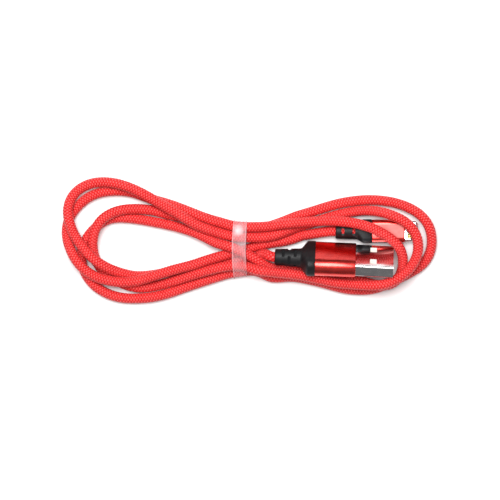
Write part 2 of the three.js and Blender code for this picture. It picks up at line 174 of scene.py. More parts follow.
class Shader:
    def __init__(self, name):
        self.material = bpy.data.materials.new(name)
        self.material.use_nodes = True
        self.tree = self.material.node_tree
        self.main = self.tree.nodes["Principled BSDF"]

    def node(self, kind, **inputs):
        made = self.tree.nodes.new(kind)
        for key, value in inputs.items():
            self.feed(made.inputs[key], value)
        return made

    def feed(self, socket, value):
        if isinstance(value, bpy.types.NodeSocket):
            self.tree.links.new(value, socket)
        else:
            socket.default_value = value

    def combine(self, operation, *values):
        made = self.tree.nodes.new("ShaderNodeMath")
        made.operation = operation
        for socket, value in zip(made.inputs, values):
            self.feed(socket, value)
        return made.outputs[0]

    def add(self, a, b):
        return self.combine("ADD", a, b)

    def times(self, a, b):
        return self.combine("MULTIPLY", a, b)

    def wave(self, a, turns):
        # 0 where a is whole, in ridges between
        return self.combine("ABSOLUTE", self.combine("SINE", self.times(a, math.pi * turns)))

    def place(self, scale):
        coordinates = self.node("ShaderNodeTexCoord").outputs["Object"]
        mapping = self.node("ShaderNodeMapping", Vector=coordinates)
        mapping.inputs["Scale"].default_value = scale
        return mapping.outputs[0]

    def noise(self, scale, detail, stretch=(1, 1, 1)):
        made = self.node("ShaderNodeTexNoise", Vector=self.place(stretch), Scale=scale, Detail=detail)
        return made.outputs["Fac"]

    def ramp(self, value, start, end, low=0.0, high=1.0):
        made = self.node("ShaderNodeMapRange", Value=value)
        for socket, limit in (("From Min", start), ("From Max", end), ("To Min", low), ("To Max", high)):
            made.inputs[socket].default_value = limit
        return made.outputs["Result"]

    def spread(self, value, low, high):
        return self.ramp(value, noiseValues["low"], noiseValues["high"], low, high)

    def mix(self, share, a, b):
        made = self.tree.nodes.new("ShaderNodeMix")
        made.data_type = "RGBA"
        self.feed(made.inputs[0], share)
        self.feed(made.inputs[6], a)
        self.feed(made.inputs[7], b)
        return made.outputs[2]

    def bump(self, height, depth):
        made = self.node("ShaderNodeBump", Height=height)
        made.inputs["Strength"].default_value = 1.0
        made.inputs["Distance"].default_value = depth
        return made.outputs[0]

    def set(self, **inputs):
        for key, value in inputs.items():
            self.feed(self.main.inputs[key.replace("_", " ")], value)


def rgba(colour):
    return (*colour, 1.0)


def plainMaterial(
    name, dark, light, rough, grain, depth, stretch=(1, 1, 1), metal=0.0, specular=0.5, coat=(0.0, 0.2)
):
    shader = Shader(name)
    wide = shader.noise(grain * noiseValues["wideShare"], noiseValues["wideDetail"])
    fine = shader.noise(grain, noiseValues["fineDetail"], stretch)
    shader.set(
        Base_Color=shader.mix(shader.spread(wide, 0.0, 1.0), rgba(dark), rgba(light)),
        Roughness=shader.spread(fine, *rough),
        Normal=shader.bump(fine, depth),
        Metallic=metal,
    )
    shader.main.inputs["Specular IOR Level"].default_value = specular
    shader.main.inputs["Coat Weight"].default_value = coat[0]
    shader.main.inputs["Coat Roughness"].default_value = coat[1]
    return shader.material


# cord: braided jacket
cordValues = {
    "diameter": 0.0035,
    "insideBoots": 0.0078,
    "strandsEachWay": 6,
    "braidPitch": 0.00097,
    "ringsPerPitch": 4,
    "sides": 24,
    "relief": 0.00020,
    # painted shade: a darker red for the grooves between the braid's strands, where shade falls
    "grooveShadeColour": (0.50, 0.004, 0.005),
    "darkColour": (0.70, 0.010, 0.010),
    "lightColour": (0.84, 0.020, 0.019),
    # painted highlight: pale pink for the lit tops of the braid's crests
    "crestHighlightColour": (1.0, 0.17, 0.17),
    "roughness": (0.30, 0.46),
    "yarnsPerStrand": 4,
    "yarnDepth": 0.25,
    "crestPower": 0.5,
    "fuzzScale": 5200.0,
    "fuzzDepth": 0.18,
    "fuzzDetail": 2.0,
    "tintScale": 420.0,
    "tintDetail": 3.0,
    "grooveShadeSpan": (0.12, 0.62),
    # painted highlight: where on the crests, how broken up and how strong the pale pink is
    "crestHighlightSpan": (0.86, 1.16),
    "crestHighlightFuzz": 0.25,
    "crestHighlightMost": 0.85,
    "bumpDepth": 0.00016,
    "specular": 0.4,
    "sheen": 0.07,
    "sheenRoughness": 0.4,
    "sheenTint": (1.0, 0.55, 0.55),
    "lead": 0.0015,
    "curveSteps": 24,
    "refineSteps": 12,
}
# the route in millimetres, from the phone plug to the USB plug
cordRoute = [
    # phone plug to the band, then round the second left loop
    (24, 2.6, 2.7), (20.7, 2.1, 2.5), (14.8, 0.9, 2.2), (7.5, -0.8, 2), (2.5, -2.2, 2),
    (-0.7, -3.2, 1.9), (-3.3, -3.9, 2), (-5.7, -4.7, 3.3), (-9.3, -5.3, 4.6), (-12.4, -6.2, 5.2),
    (-18, -8, 5.4), (-25.5, -9.9, 5.4), (-32.9, -12.2, 5.4), (-38.9, -13.8, 5.3),
    (-45.5, -13.7, 5.3), (-52.3, -11.7, 5.2), (-57, -7.8, 5.2), (-60, -2.5, 3.4), (-61.2, 2.2, 1.9),
    (-60.4, 7.2, 1.8), (-58.2, 10.4, 1.8), (-55.5, 13.2, 1.8), (-51.3, 15.5, 1.8),
    (-46, 16.4, 1.8), (-40.5, 16.2, 1.8), (-34, 14.1, 2), (-27, 11.4, 2.4), (-18, 8, 4.2),
    (-11.3, 5.7, 5.2), (-5.6, 4.6, 5.3), (-0.3, 4.3, 5.3),
    # inner right loop, over both plugs and round the shell's tip
    (7.3, 4.6, 5.3), (13.7, 5.4, 5.3), (20.3, 6.1, 5.4), (27, 6.4, 6.2), (34, 5.7, 7.3),
    (39.3, 4.4, 7.7), (43.3, 2.5, 7.9), (47, 0.1, 8.2), (49.8, -2.8, 7.6), (50.6, -6, 6.2),
    (50.7, -9, 5), (49.8, -12, 4.7), (47.2, -14.5, 4.8), (43.4, -15.1, 4.8), (39.5, -14.4, 4.2),
    (36, -13.4, 3.2), (32, -12.4, 2.3), (26, -11.1, 1.8), (19, -9.7, 1.8), (13, -9, 2.1),
    (8.7, -9.3, 2.7), (5.2, -8.4, 4), (2.2, -6.4, 6), (-0.7, -4.9, 5.6), (-3.3, -3.8, 5.6),
    # innermost left loop
    (-5.7, -2.9, 5.6), (-10.5, -0.7, 5.2), (-17, 2, 3.6), (-25, 4.6, 2.2), (-33.5, 6.3, 1.8),
    (-40.5, 7.4, 1.8), (-45.8, 7.4, 1.8), (-50.2, 5.3, 1.8), (-53.6, 1.8, 1.8),
    (-55.8, -2.2, 1.8), (-56.4, -6.2, 1.8), (-55.2, -10.4, 1.8), (-53, -14, 1.8),
    (-49.2, -17, 1.8), (-44.5, -18.9, 1.8), (-39, -19.5, 1.8), (-33, -18.9, 1.8),
    (-27, -17.4, 1.8), (-20, -15.2, 1.8), (-11.3, -12.4, 1.8), (-5.3, -10.6, 1.95),
    (-0.7, -10.1, 1.95),
    # outer right loop
    (6.2, -10.8, 1.8), (12, -11.6, 1.8), (17.7, -12.5, 1.8), (26, -14.7, 1.8), (33, -16.4, 1.8),
    (40, -16.3, 1.8), (46.8, -14.2, 1.8), (52.5, -11.3, 1.8), (57.5, -8.2, 1.8),
    (60.2, -3.8, 1.8), (60.5, 0.8, 2.8), (59.3, 5.3, 3.6), (55.4, 9.4, 3.2), (49.2, 12.2, 2),
    (42.5, 13.3, 1.8), (36, 13.2, 1.8), (29.3, 12.1, 1.8), (21.5, 9.8, 1.8), (13, 6.9, 1.8),
    (6, 4.5, 1.8), (-0.7, 3, 1.95), (-5.7, 3, 1.95),
    # third left loop
    (-11.5, 5.2, 1.8), (-18.5, 7.2, 1.8), (-26, 9, 1.8), (-33.5, 10.1, 2.3), (-40.5, 10.2, 3.4),
    (-46, 8.9, 4.7), (-50, 6, 5.3), (-52, 1.8, 5), (-52.4, -2.2, 3.4), (-51.6, -6.3, 2.3),
    (-49.5, -9.8, 1.9), (-46, -12.6, 1.8), (-41.3, -14.9, 1.8), (-36, -16, 1.8),
    (-30, -15.2, 1.8), (-25.5, -13.8, 2.6), (-18, -11.2, 4), (-11.8, -9.4, 5), (-5.7, -8.6, 5.3),
    (-0.7, -8.6, 5.4),
    # second right loop
    (5.7, -10.1, 6.1), (11, -11, 5.8), (17.7, -11.9, 5.4), (26, -13.7, 5.3), (31.7, -14.6, 5.7),
    (36, -14.8, 6.6), (40.3, -15, 7.6), (44.6, -14.7, 8), (49, -12.7, 8.2), (53.3, -9, 8),
    (55.5, -4.6, 7.4), (55.7, -0.8, 7.1), (54.6, 2.6, 7.3), (51.4, 6, 7.5), (46.8, 8.3, 7),
    (42.2, 9.6, 5), (36.7, 9.8, 2.8), (31, 8.8, 1.8), (24.5, 7, 1.8), (17, 4.4, 2),
    (11.5, 2.6, 3.4), (6.5, 1.2, 4.4), (-0.7, 1, 4.9), (-5.7, 1.2, 5),
    # first left loop, over the others
    (-10.3, 2.5, 5.1), (-17, 5.2, 5.4), (-24, 9, 5.8), (-30, 12.2, 5.4), (-36, 15.6, 5.4),
    (-42.5, 18.3, 5.4), (-49, 19.3, 4.2), (-54.5, 18.3, 3.6), (-58.6, 15.3, 3.8),
    (-60.4, 11.4, 4.6), (-60.2, 6.8, 5.3), (-58.5, 2, 5.3), (-55.8, -2, 6.4),
    (-52.2, -6, 7), (-48.2, -8.8, 6), (-43.5, -10.8, 3.8), (-38.6, -12, 1.9), (-33, -11.7, 1.8),
    (-26, -10.4, 1.8), (-18.5, -8.6, 1.8), (-11, -7.4, 1.8), (-5.7, -7, 1.95), (-0.7, -6.7, 2),
    (2, -5.6, 2.8), (4.6, -5.1, 4.3),
]


def smoothLine(points, step):
    # centripetal Catmull-Rom through the points, then resampled evenly
    p = np.asarray(points, float)
    p = np.vstack([2 * p[0] - p[1], p, 2 * p[-1] - p[-2]])
    made = []
    for i in range(1, len(p) - 2):
        knots = [0.0]
        for a, b in ((i - 1, i), (i, i + 1), (i + 1, i + 2)):
            knots.append(knots[-1] + math.sqrt(np.linalg.norm(p[b] - p[a])))
        t = np.linspace(knots[1], knots[2], cordValues["curveSteps"], endpoint=False)[:, None]
        a1 = ((knots[1] - t) * p[i - 1] + (t - knots[0]) * p[i]) / (knots[1] - knots[0])
        a2 = ((knots[2] - t) * p[i] + (t - knots[1]) * p[i + 1]) / (knots[2] - knots[1])
        a3 = ((knots[3] - t) * p[i + 1] + (t - knots[2]) * p[i + 2]) / (knots[3] - knots[2])
        b1 = ((knots[2] - t) * a1 + (t - knots[0]) * a2) / (knots[2] - knots[0])
        b2 = ((knots[3] - t) * a2 + (t - knots[1]) * a3) / (knots[3] - knots[1])
        made.append(((knots[2] - t) * b1 + (t - knots[1]) * b2) / (knots[2] - knots[1]))
    made.append(p[-2:-1])
    return evenLine(np.vstack(made), step)


def evenLine(line, step):
    along = np.concatenate([[0], np.cumsum(np.linalg.norm(np.diff(line, axis=0), axis=1))])
    count = max(2, int(round(along[-1] / step)) + 1)
    at = np.linspace(0, along[-1], count)
    return np.stack([np.interp(at, along, line[:, k]) for k in range(3)], axis=1)


# what the cord can't pass through: parts of the plugs as rounded bars in their own frames
barValues = {
    "neckEnd": {"usb": 0.0088, "phone": 0.0074},
    "neckMargin": 0.0003,
    "neckRoundness": 0.98,
    "corner": 0.002,
    "metalShare": 0.6,
}


def plugBars():
    bars = []
    for plug, prefix in ((usb, "usb"), (phone, "phone")):
        for part in ("sleeve", "shell", "tip_frame"):
            name = f"{prefix}_{part}"
            if name not in nodes:
                continue
            low, high = plug.span(name)
            corner = min(high[2], barValues["corner"]) * barValues["metalShare"]
            bars.append((plug, low[0], high[0], high[1], high[2], corner))
        low, high = plug.span(f"{prefix}_boot")
        neckEnd = barValues["neckEnd"][prefix]
        neck = plug.local([v.co for v in nodes[f"{prefix}_boot"].data.vertices])
        neck = neck[neck[:, 0] < neckEnd - barValues["neckMargin"]]
        radius = np.linalg.norm(neck[:, 1:], axis=1).max()
        bars.append((plug, low[0], neckEnd, radius, radius, radius * barValues["neckRoundness"]))
        bars.append((plug, neckEnd, high[0], high[1], high[2], min(high[2], barValues["corner"])))
    return bars


def barDistance(bar, points):
    plug, x0, x1, halfWidth, halfThickness, radius = bar
    own = plug.local(points)
    across = np.abs(own[:, 1:]) - np.array([halfWidth - radius, halfThickness - radius])
    flat = np.linalg.norm(np.maximum(across, 0), axis=1) + np.minimum(across.max(1), 0) - radius
    past = np.maximum(x0 - own[:, 0], own[:, 0] - x1)
    outside = np.sqrt(np.maximum(past, 0) ** 2 + np.maximum(flat, 0) ** 2)
    return np.where((past > 0) | (flat > 0), outside, np.maximum(past, flat))


# how the route settles: it stays smooth and near its points while its strands push apart
settleValues = {
    "step": 0.0012,
    "rounds": 360,
    "bandRise": 0.00015,
    "pushShare": (0.22, 0.22, 0.66),
    "smoothing": 0.06,
    "homing": 0.012,
    "nextStrand": 2.6,
    "pairRounds": 12,
    "pairReach": 1.5,
    "barShare": 0.8,
    "probe": 1e-5,
    "tiny": 1e-12,
}


def barSlope(bar, points):
    # which way leads out of the bar at each point
    moves = settleValues["probe"] * np.eye(3)
    slope = np.stack([barDistance(bar, points + k) - barDistance(bar, points - k) for k in moves], axis=1)
    return slope / np.maximum(np.linalg.norm(slope, axis=1), settleValues["tiny"])[:, None]


def settle(line, radius, rounds, heldEnds):
    home = line.copy()
    line = line.copy()
    count = len(line)
    free = np.ones(count, bool)
    free[:heldEnds] = False
    free[-heldEnds:] = False
    gap = 2 * radius
    skip = int(math.ceil(settleValues["nextStrand"] * gap / np.linalg.norm(line[1] - line[0])))
    bars = plugBars()
    bandLow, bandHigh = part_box("tie_band")
    nearBand = (home[:, 0] > bandLow.x - radius) & (home[:, 0] < bandHigh.x + radius)
    floor = np.where(nearBand, radius + settleValues["bandRise"], radius)
    for turn in range(rounds):
        if turn % settleValues["pairRounds"] == 0:
            apart = np.linalg.norm(line[:, None] - line[None, :], axis=2)
            rows, cols = np.nonzero(apart < gap * settleValues["pairReach"])
            keep = cols - rows > skip
            rows, cols = rows[keep], cols[keep]
        # stay smooth and near the route
        bend = np.zeros_like(line)
        bend[2:-2] = line[:-4] - 4 * line[1:-3] + 6 * line[2:-2] - 4 * line[3:-1] + line[4:]
        step = -settleValues["smoothing"] * bend + settleValues["homing"] * (home - line)
        line[free] += step[free]
        # strands keep a diameter apart
        between = line[cols] - line[rows]
        far = np.linalg.norm(between, axis=1)
        near = far < gap
        if near.any():
            push = between[near] / np.maximum(far[near], settleValues["tiny"])[:, None]
            push *= (gap - far[near])[:, None]
            push *= settleValues["pushShare"]
            move = np.zeros_like(line)
            hits = np.zeros(count)
            np.add.at(move, rows[near], -push)
            np.add.at(move, cols[near], push)
            np.add.at(hits, rows[near], 1)
            np.add.at(hits, cols[near], 1)
            move /= np.maximum(hits, 1)[:, None] ** 0.5
            line[free] += move[free]
        for bar in bars:
            deep = radius - barDistance(bar, line)
            hit = np.nonzero((deep > 0) & free)[0]
            if len(hit):
                line[hit] += barSlope(bar, line[hit]) * deep[hit][:, None] * settleValues["barShare"]
        line[:, 2] = np.where(free, np.maximum(line[:, 2], floor), line[:, 2])
    return line


def insidePoint(plug, depth):
    return plug.place([[depth, 0, 0]])[0]


depth = cordValues["insideBoots"]
lead = cordValues["lead"]
rawRoute = np.vstack([
    insidePoint(phone, depth), insidePoint(phone, depth / 2), insidePoint(phone, 0),
    insidePoint(phone, -lead),
    np.array(cordRoute) * mm,
    insidePoint(usb, -lead), insidePoint(usb, 0), insidePoint(usb, depth / 2), insidePoint(usb, depth),
])
cordLine = smoothLine(rawRoute, settleValues["step"])
held = int((depth + lead) / settleValues["step"]) + 1
cordLine = settle(cordLine, cordValues["diameter"] / 2, settleValues["rounds"], held)
print("cord settled")


def cubicLine(points, perStep):
    # a smooth curve through evenly spaced points
    p = np.vstack([2 * points[0] - points[1], points, 2 * points[-1] - points[-2]])
    t = np.linspace(0, 1, perStep, endpoint=False)[None, :, None]
    a, b, c, d = (p[i:len(p) - 3 + i][:, None, :] for i in range(4))
    made = 0.5 * (2 * b + (c - a) * t + (2 * a - 5 * b + 4 * c - d) * t**2 + (3 * b - a - 3 * c + d) * t**3)
    return np.vstack([made.reshape(-1, 3), points[-1:]])


ringStep = cordValues["braidPitch"] / cordValues["ringsPerPitch"]
cordLine = evenLine(cubicLine(cordLine, cordValues["refineSteps"]), ringStep)


def turningFrames(line):
    tangent = np.gradient(line, axis=0)
    tangent /= np.linalg.norm(tangent, axis=1)[:, None]
    side = np.cross(tangent[0], (0.0, 0.0, 1.0))
    side /= np.linalg.norm(side)
    sides = [side]
    for i in range(1, len(line)):
        side = sides[-1] - tangent[i] * (sides[-1] @ tangent[i])
        sides.append(side / np.linalg.norm(side))
    sides = np.array(sides)
    return tangent, sides, np.cross(tangent, sides)


def braidHeight(u, v):
    # the height of the strand on top, 0 in the grooves and 1 on a crest
    a = (u + v) % 1.0 - 0.5
    b = (u - v) % 1.0 - 0.5
    return np.sqrt(np.abs(np.cos(math.pi * a) * np.cos(math.pi * b)))


def cordMaterial():
    shader = Shader("braidedCord")
    uv = shader.node("ShaderNodeUVMap")
    uv.uv_map = "braid"
    split = shader.node("ShaderNodeSeparateXYZ", Vector=uv.outputs[0])
    u = split.outputs[0]
    v = split.outputs[1]
    a = shader.add(u, v)
    b = shader.combine("SUBTRACT", u, v)
    cells = shader.add(shader.combine("FLOOR", a), shader.combine("FLOOR", b))
    parity = shader.combine("PINGPONG", cells, 1.0)
    across = shader.add(
        shader.times(a, shader.combine("SUBTRACT", 1.0, parity)),
        shader.times(b, parity),
    )
    weave = shader.times(shader.wave(a, 1), shader.wave(b, 1))
    crest = shader.combine("POWER", weave, cordValues["crestPower"])
    fuzz = shader.noise(cordValues["fuzzScale"], cordValues["fuzzDetail"])
    yarn = shader.wave(across, cordValues["yarnsPerStrand"])
    height = shader.add(shader.times(yarn, cordValues["yarnDepth"]), crest)
    height = shader.add(height, shader.times(fuzz, cordValues["fuzzDepth"]))
    cloud = shader.spread(shader.noise(cordValues["tintScale"], cordValues["tintDetail"]), 0.0, 1.0)
    tint = shader.mix(cloud, rgba(cordValues["darkColour"]), rgba(cordValues["lightColour"]))
    # painted shade: the grooves between the braid's strands are mixed toward a darker red
    grooveShade = shader.ramp(crest, *cordValues["grooveShadeSpan"])
    shade = shader.mix(grooveShade, rgba(cordValues["grooveShadeColour"]), tint)
    # painted highlight: the tops of the braid's crests are mixed toward pale pink, as if lit
    crestHighlight = shader.ramp(
        shader.add(crest, shader.times(fuzz, cordValues["crestHighlightFuzz"])),
        *cordValues["crestHighlightSpan"], 0.0, cordValues["crestHighlightMost"],
    )
    shade = shader.mix(crestHighlight, shade, rgba(cordValues["crestHighlightColour"]))
    shader.set(
        Base_Color=shade,
        Roughness=shader.spread(fuzz, *cordValues["roughness"]),
        Normal=shader.bump(height, cordValues["bumpDepth"]),
    )
    shader.main.inputs["Specular IOR Level"].default_value = cordValues["specular"]
    shader.main.inputs["Sheen Weight"].default_value = cordValues["sheen"]
    shader.main.inputs["Sheen Roughness"].default_value = cordValues["sheenRoughness"]
    shader.main.inputs["Sheen Tint"].default_value = rgba(cordValues["sheenTint"])
    return shader.material


def buildCord():
    rings = len(cordLine)
    sides = cordValues["sides"]
    tangent, side, up = turningFrames(cordLine)
    share = np.arange(sides) / sides
    angle = 2 * math.pi * share
    u = np.broadcast_to(share * cordValues["strandsEachWay"], (rings, sides))
    v = np.broadcast_to((np.arange(rings) / cordValues["ringsPerPitch"])[:, None], (rings, sides))
    radius = cordValues["diameter"] / 2 - cordValues["relief"] * (1 - braidHeight(u, v))
    points = (
        cordLine[:, None, :]
        + radius[..., None] * np.cos(angle)[None, :, None] * side[:, None, :]
        + radius[..., None] * np.sin(angle)[None, :, None] * up[:, None, :]
    ).reshape(-1, 3)
    faces = gridFaces(rings, sides)
    last = (rings - 1) * sides
    points = np.vstack([points, cordLine[:1], cordLine[-1:]])
    caps = []
    for i in range(sides):
        j = (i + 1) % sides
        caps.append((len(points) - 2, j, i))
        caps.append((len(points) - 1, last + i, last + j))
    mesh = bpy.data.meshes.new("cord")
    mesh.from_pydata(points.tolist(), [], faces.tolist() + caps)
    mesh.polygons.foreach_set("use_smooth", [True] * len(mesh.polygons))
    uvs = np.zeros((len(mesh.loops), 2), np.float32)
    k = np.tile(np.arange(sides), rings - 1)
    ring = np.repeat(np.arange(rings - 1), sides)
    perTurn = cordValues["strandsEachWay"] / sides
    perRing = 1 / cordValues["ringsPerPitch"]
    quads = np.stack([
        np.stack([k * perTurn, ring * perRing], 1),
        np.stack([(k + 1) * perTurn, ring * perRing], 1),
        np.stack([(k + 1) * perTurn, (ring + 1) * perRing], 1),
        np.stack([k * perTurn, (ring + 1) * perRing], 1),
    ], axis=1).reshape(-1, 2)
    uvs[:len(quads)] = quads
    layer = mesh.uv_layers.new(name="braid")
    layer.data.foreach_set("uv", uvs.ravel())
    mesh.materials.append(cordMaterial())
    mesh.update()
    piece = bpy.data.objects.new("braidedCord", mesh)
    scene.collection.objects.link(piece)
    return piece


cord = buildCord()
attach(cord, "root")
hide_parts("cord")
print("cord built", len(cord.data.polygons), "faces")


# band: clear tape pulled tight round the bundle
bandValues = {
    "wall": 0.00012,
    "sideways": 0.0006,
    "rim": 0.00035,
    "rimRise": 0.00007,
    "rimRings": (0.0, 0.35, 1.0),
    "rimMarks": (1.0, 1.0, 0.25),
    "clearance": 0.00006,
    "stations": 28,
    "sides": 160,
    "hullSamples": 720,
    "aboveFloor": 0.00002,
    "sharpDegrees": 60.0,
    "creaseDepth": 0.00006,
    "creaseScale": 900,
    "creaseDetail": 5.0,
    "creaseStretch": (2.2, 0.5, 0.5),
    "creaseBump": 0.0002,
    "waves": 3,
    "fewestWaves": 5,
    "moreWaves": 4,
    "seed": 4,
    "cloudScale": 260.0,
    "cloudDetail": 3.0,
    "tint": (0.80, 0.40, 0.42),
    "cloudTint": (0.92, 0.62, 0.64),
    "haze": (0.05, 0.26),
    "glarePlace": (-0.0042, 0.0030, 0.0060),
    "glareReach": 0.0027,
    "glareCore": 0.0002,
    "glareCloud": (0.6, 1.4),
    "glareColour": (1.0, 1.0, 1.0),
    "glare": 0.7,
    "rimHaze": 0.5,
    "roughness": (0.22, 0.42),
    "specular": 0.3,
}


def strandsAt(x):
    # where the cord's centre crosses the plane at x
    ahead = cordLine[:-1, 0] - x
    after = cordLine[1:, 0] - x
    cross = np.nonzero((ahead <= 0) != (after <= 0))[0]
    share = (ahead[cross] / (ahead[cross] - after[cross]))[:, None]
    return (cordLine[cross] * (1 - share) + cordLine[cross + 1] * share)[:, 1:]


def hullRing(centres, radius, sides):
    # a film stretched round circles: evenly spaced points on their convex hull
    angle = np.linspace(0, 2 * math.pi, bandValues["hullSamples"], endpoint=False) - math.pi / 2
    out = np.stack([np.cos(angle), np.sin(angle)], axis=1)
    reach = centres @ out.T
    outer = centres[reach.argmax(0)] + radius * out
    outer = np.vstack([outer, outer[:1]])
    along = np.concatenate([[0], np.cumsum(np.linalg.norm(np.diff(outer, axis=0), axis=1))])
    at = np.linspace(0, along[-1], sides, endpoint=False)
    return np.stack([np.interp(at, along, outer[:, k]) for k in range(2)], axis=1)


def bandMaterial():
    shader = Shader("clearTape")
    crease = shader.noise(
        bandValues["creaseScale"], bandValues["creaseDetail"], bandValues["creaseStretch"]
    )
    cloud = shader.noise(bandValues["cloudScale"], bandValues["cloudDetail"])
    low, high = bandValues["haze"]
    rim = shader.node("ShaderNodeAttribute")
    rim.attribute_name = "rim"
    hazed = shader.spread(shader.times(shader.add(crease, cloud), 0.5), low, high)
    film = shader.add(hazed, shader.times(rim.outputs["Fac"], bandValues["rimHaze"] - high))
    # a glare patch where the light falls on the tape
    away = shader.node("ShaderNodeVectorMath")
    away.operation = "DISTANCE"
    shader.feed(away.inputs[0], shader.node("ShaderNodeTexCoord").outputs["Object"])
    shader.feed(away.inputs[1], bandValues["glarePlace"])
    near = shader.ramp(away.outputs["Value"], bandValues["glareReach"], bandValues["glareCore"])
    patch = shader.times(near, shader.spread(cloud, *bandValues["glareCloud"]))
    tint = shader.mix(cloud, rgba(bandValues["tint"]), rgba(bandValues["cloudTint"]))
    shader.set(
        Base_Color=shader.mix(patch, tint, rgba(bandValues["glareColour"])),
        Roughness=shader.spread(crease, *bandValues["roughness"]),
        Alpha=shader.add(film, shader.times(patch, bandValues["glare"])),
        Normal=shader.bump(crease, bandValues["creaseBump"]),
    )
    shader.main.inputs["Specular IOR Level"].default_value = bandValues["specular"]
    return shader.material


def buildBand():
    low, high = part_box("tie_band")
    sides = bandValues["sides"]
    radius = cordValues["diameter"] / 2 + bandValues["clearance"]
    layers = []
    half = (high.y - low.y) / 2
    rim = np.array(bandValues["rimRings"]) * bandValues["rim"]
    inner = np.linspace(low.x, high.x, bandValues["stations"])[2:-2]
    stations = np.concatenate([low.x + rim, inner, high.x - rim[::-1]])
    waves = bandValues["waves"]
    rng = np.random.default_rng(bandValues["seed"])
    phase = rng.uniform(0, 2 * math.pi, 2 * waves)
    for wall in (bandValues["wall"], 0.0):
        rings = []
        for x in stations:
            ring = hullRing(strandsAt(x), radius + wall, sides)
            middle = ring.mean(0)
            out = ring - middle
            out /= np.linalg.norm(out, axis=1)[:, None]
            at = np.arange(sides) / sides * 2 * math.pi
            wave = np.zeros(sides)
            for k in range(1, waves + 1):
                turns = bandValues["fewestWaves"] + bandValues["moreWaves"] * k
                swing = math.sin(k * bandValues["creaseScale"] * x + phase[k])
                wave += swing * np.cos(turns * at + phase[-k - 1])
            ring = ring + out * (np.abs(wave) * bandValues["creaseDepth"] / 2)[:, None]
            if wall:
                edge = min(x - stations[0], stations[-1] - x)
                ring = ring + out * bandValues["rimRise"] * max(0.0, 1 - edge / bandValues["rim"])
            lowest = bandValues["aboveFloor"] + (0.0 if wall else bandValues["wall"])
            ring[:, 1] = np.maximum(ring[:, 1], lowest)
            lean = np.cos((ring[:, 0] - middle[0]) / half * math.pi / 2) * bandValues["sideways"]
            rings.append(np.column_stack([x - lean + bandValues["sideways"] / 2, ring]))
        layers.append(rings)
    rings = layers[0] + layers[1][::-1]
    points = np.array(rings).reshape(-1, 3)
    faces = gridFaces(len(rings), sides, closedAlong=True)
    piece = newPiece("clearTapeBand", points, faces, bandMaterial(), bandValues["sharpDegrees"])
    rimShare = np.zeros(len(points), np.float32)
    count = len(stations)
    for layer in range(2):
        for k, mark in enumerate(bandValues["rimMarks"]):
            for ringIndex in (k, count - 1 - k):
                at = (layer * count + ringIndex) * sides
                rimShare[at:at + sides] = mark
    marks = piece.data.attributes.new("rim", "FLOAT", "POINT")
    marks.data.foreach_set("value", rimShare)
    return piece


band = buildBand()
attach(band, "root")
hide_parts("tie_band")
print("band built")


# finishes of the plugs' pieces, by slot
finishValues = {
    "anodised": {
        "name": "redAnodised",
        "dark": (0.62, 0.016, 0.012),
        "light": (0.76, 0.030, 0.020),
        "rough": (0.2, 0.34),
        "grain": 2600.0,
        "depth": 0.00002,
        "stretch": (0.05, 1, 1),
        "metal": 1.0,
        "coat": (0.8, 0.22),
    },
    "steel": {
        "name": "polishedSteel",
        "dark": (0.70, 0.69, 0.70),
        "light": (0.82, 0.81, 0.82),
        "rough": (0.06, 0.14),
        "grain": 1500.0,
        "depth": 0.00001,
        "stretch": (0.06, 1, 1),
        "metal": 1.0,
    },
    "rubber": {
        "name": "blackRubber",
        "dark": (0.004, 0.004, 0.005),
        "light": (0.009, 0.009, 0.010),
        "rough": (0.42, 0.60),
        "grain": 3200.0,
        "depth": 0.00004,
        "specular": 0.25,
    },
    "gold": {
        "name": "goldPlate",
        "dark": (0.72, 0.45, 0.12),
        "light": (0.85, 0.57, 0.2),
        "rough": (0.16, 0.28),
        "grain": 2500.0,
        "depth": 0.00001,
        "metal": 1.0,
    },
    "ivory_plastic": {
        "name": "ivoryPlastic",
        "dark": (0.78, 0.76, 0.68),
        "light": (0.87, 0.85, 0.78),
        "rough": (0.4, 0.55),
        "grain": 1800.0,
        "depth": 0.00002,
    },
    "black_plastic": {
        "name": "blackPlastic",
        "dark": (0.015, 0.015, 0.017),
        "light": (0.03, 0.03, 0.032),
        "rough": (0.35, 0.5),
        "grain": 2200.0,
        "depth": 0.00002,
    },
    "board": {
        "name": "boardGreen",
        "dark": (0.014, 0.12, 0.045),
        "light": (0.025, 0.18, 0.07),
        "rough": (0.35, 0.5),
        "grain": 2000.0,
        "depth": 0.00002,
    },
}
wireFinish = {"rough": (0.4, 0.55), "grain": 2000.0, "depth": 0.00002}
wireColours = {
    "wire_red": ((0.38, 0.015, 0.015), (0.5, 0.03, 0.03)),
    "wire_white": ((0.72, 0.72, 0.7), (0.84, 0.84, 0.82)),
    "wire_green": ((0.015, 0.16, 0.04), (0.03, 0.24, 0.07)),
    "wire_black": ((0.014, 0.014, 0.014), (0.03, 0.03, 0.03)),
}
slotMaterials = {slotName: plainMaterial(**values) for slotName, values in finishValues.items()}
for slotName, (dark, light) in wireColours.items():
    slotMaterials[slotName] = plainMaterial(slotName, dark, light, **wireFinish)
for part in frame["record"]["subparts"]:
    finish = slotMaterials.get(part["material_slot"])
    piece = nodes[part["node"]]
    if finish is not None:
        piece.data.materials.clear()
        piece.data.materials.append(finish)
print("finishes set")


